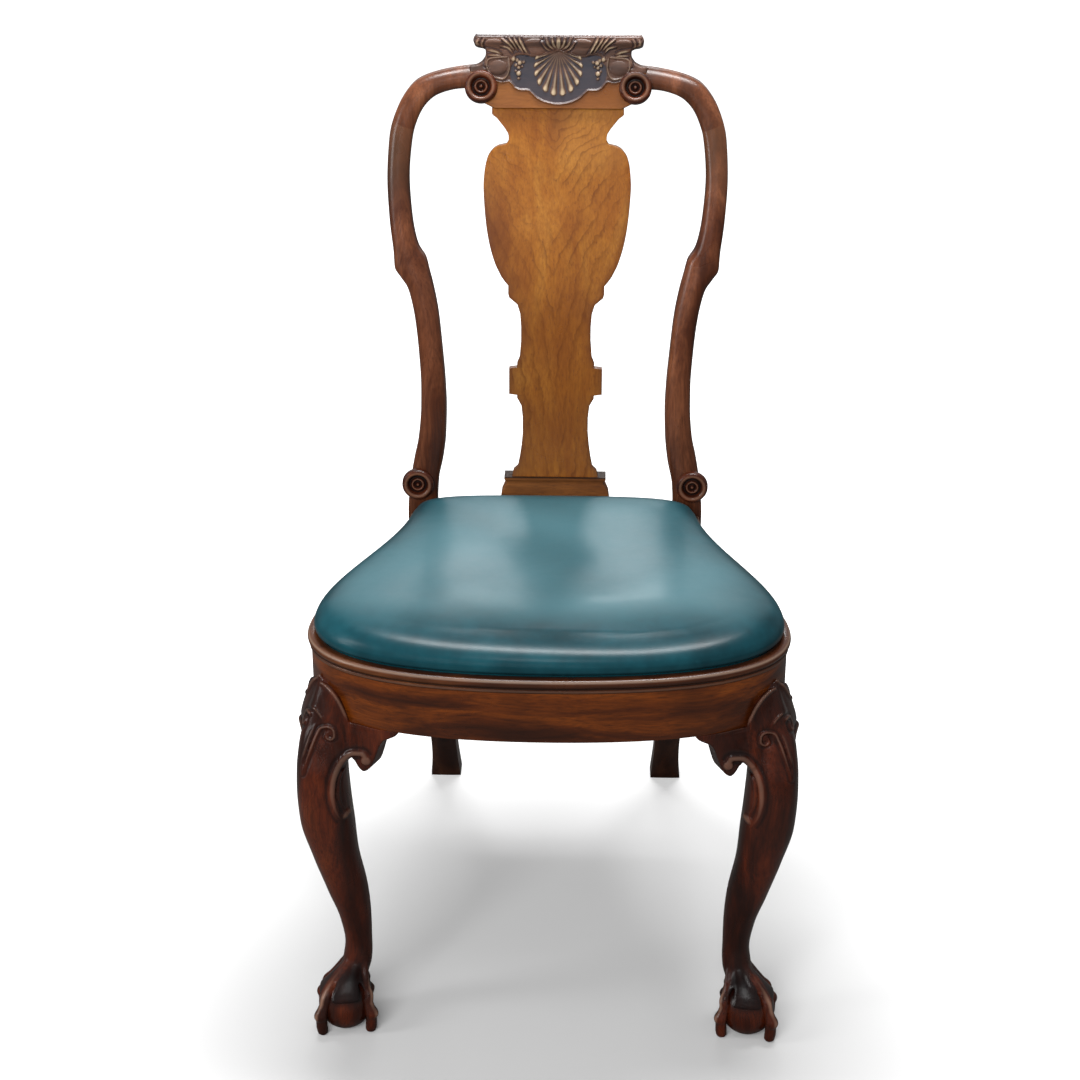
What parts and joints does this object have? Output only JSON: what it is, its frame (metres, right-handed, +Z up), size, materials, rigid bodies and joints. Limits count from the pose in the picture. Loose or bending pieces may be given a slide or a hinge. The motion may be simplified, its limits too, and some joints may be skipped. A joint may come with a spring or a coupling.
{
  "type": "side chair",
  "caption": "Walnut side chair with a hooped back, vase splat, shell-carved crest, cabriole legs on claw-and-ball feet and a lift-out leather seat.",
  "frame": {"origin": "on the floor under the middle of the chair's width and depth", "axes": "+Z up, -Y the way the sitter faces, +X to the right as seen from in front"},
  "size_m": [0.55, 0.63, 1.031],
  "materials": {
    "dark_walnut": "polished, dark red-brown",
    "rail_walnut": "polished, figured orange-brown",
    "splat_walnut": "polished golden-brown figured walnut",
    "rim_walnut": "polished, worn paler on the top edge",
    "frame_beech": "planed, unfinished",
    "screw_brass": "dull",
    "webbing": "woven linen webbing",
    "hessian": "coarse plain weave",
    "stuffing": "hair under calico",
    "leather": "glazed blue-green hide",
    "tack_steel": "blued"
  },
  "bodies": {
    "chair_frame": {"crest_rail": "dark_walnut", "left_back_post": "dark_walnut", "right_back_post": "dark_walnut", "upper_left_roundel": "dark_walnut", "upper_right_roundel": "dark_walnut", "lower_left_roundel": "dark_walnut", "lower_right_roundel": "dark_walnut", "left_front_leg": "dark_walnut", "right_front_leg": "dark_walnut", "left_front_bracket": "dark_walnut", "right_front_bracket": "dark_walnut", "left_side_bracket": "dark_walnut", "right_side_bracket": "dark_walnut", "splat_shoe": "dark_walnut", "rear_seat_rail": "rail_walnut", "front_seat_rail": "rail_walnut", "left_seat_rail": "rail_walnut", "right_seat_rail": "rail_walnut", "splat": "splat_walnut", "front_rim": "rim_walnut", "left_rim": "rim_walnut", "right_rim": "rim_walnut", "front_left_block": "frame_beech", "front_right_block": "frame_beech", "rear_left_block": "frame_beech", "rear_right_block": "frame_beech", "corner_block_screws": "screw_brass"},
    "drop_in_seat": {"seat_bar_front": "frame_beech", "seat_bar_rear": "frame_beech", "seat_bar_left": "frame_beech", "seat_bar_right": "frame_beech", "webbing_lengthwise": "webbing", "webbing_crosswise": "webbing", "hessian": "hessian", "seat_stuffing": "stuffing", "leather_cover": "leather", "leather_tacks": "tack_steel"}
  },
  "joints": [
    {"name": "seat_lift", "type": "slide", "parent": "chair_frame", "child": "drop_in_seat", "axis": [0, 0, 1], "range_m": [0, 0.12]}
  ]
}
